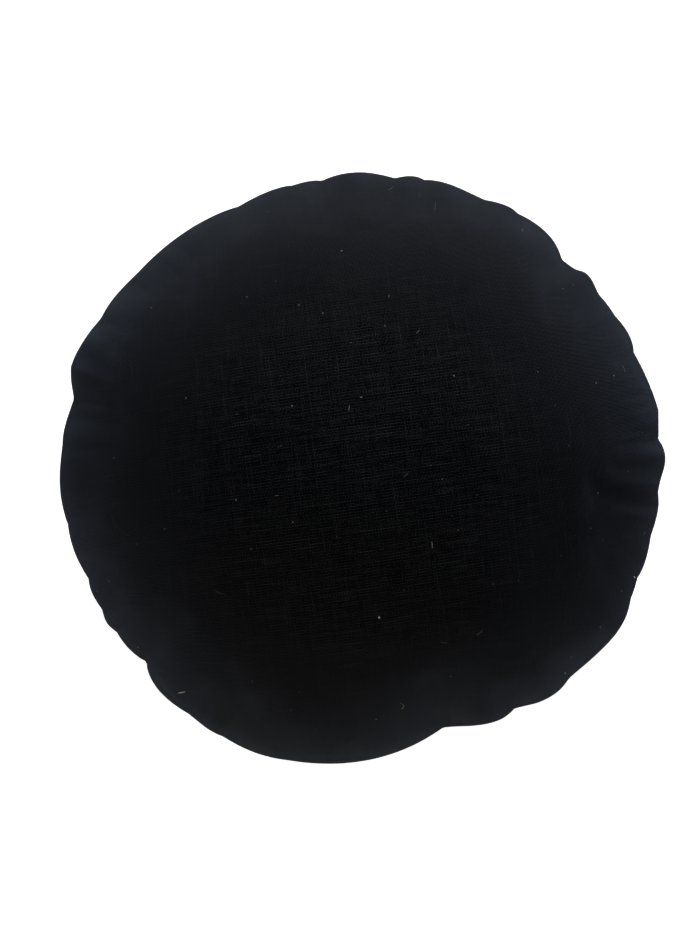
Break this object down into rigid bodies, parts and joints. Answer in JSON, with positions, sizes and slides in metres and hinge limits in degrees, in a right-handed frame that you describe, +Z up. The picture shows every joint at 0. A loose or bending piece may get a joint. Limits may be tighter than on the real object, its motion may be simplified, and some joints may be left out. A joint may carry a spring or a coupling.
{
  "type": "round scatter cushion",
  "caption": "Round filled cushion in plain black linen, two sewn discs with a gathered knife edge, lying on its back.",
  "frame": {"origin": "on the resting surface, under the middle of the cushion", "axes": "+Z up out of the upper face, +Y towards the top of the picture, +X towards its right"},
  "size_m": [0.4084, 0.4002, 0.147],
  "materials": {
    "black_linen": "matt plain-woven linen with uneven slub yarns"
  },
  "bodies": {
    "root": {"filled_cushion": "black_linen"}
  },
  "joints": []
}
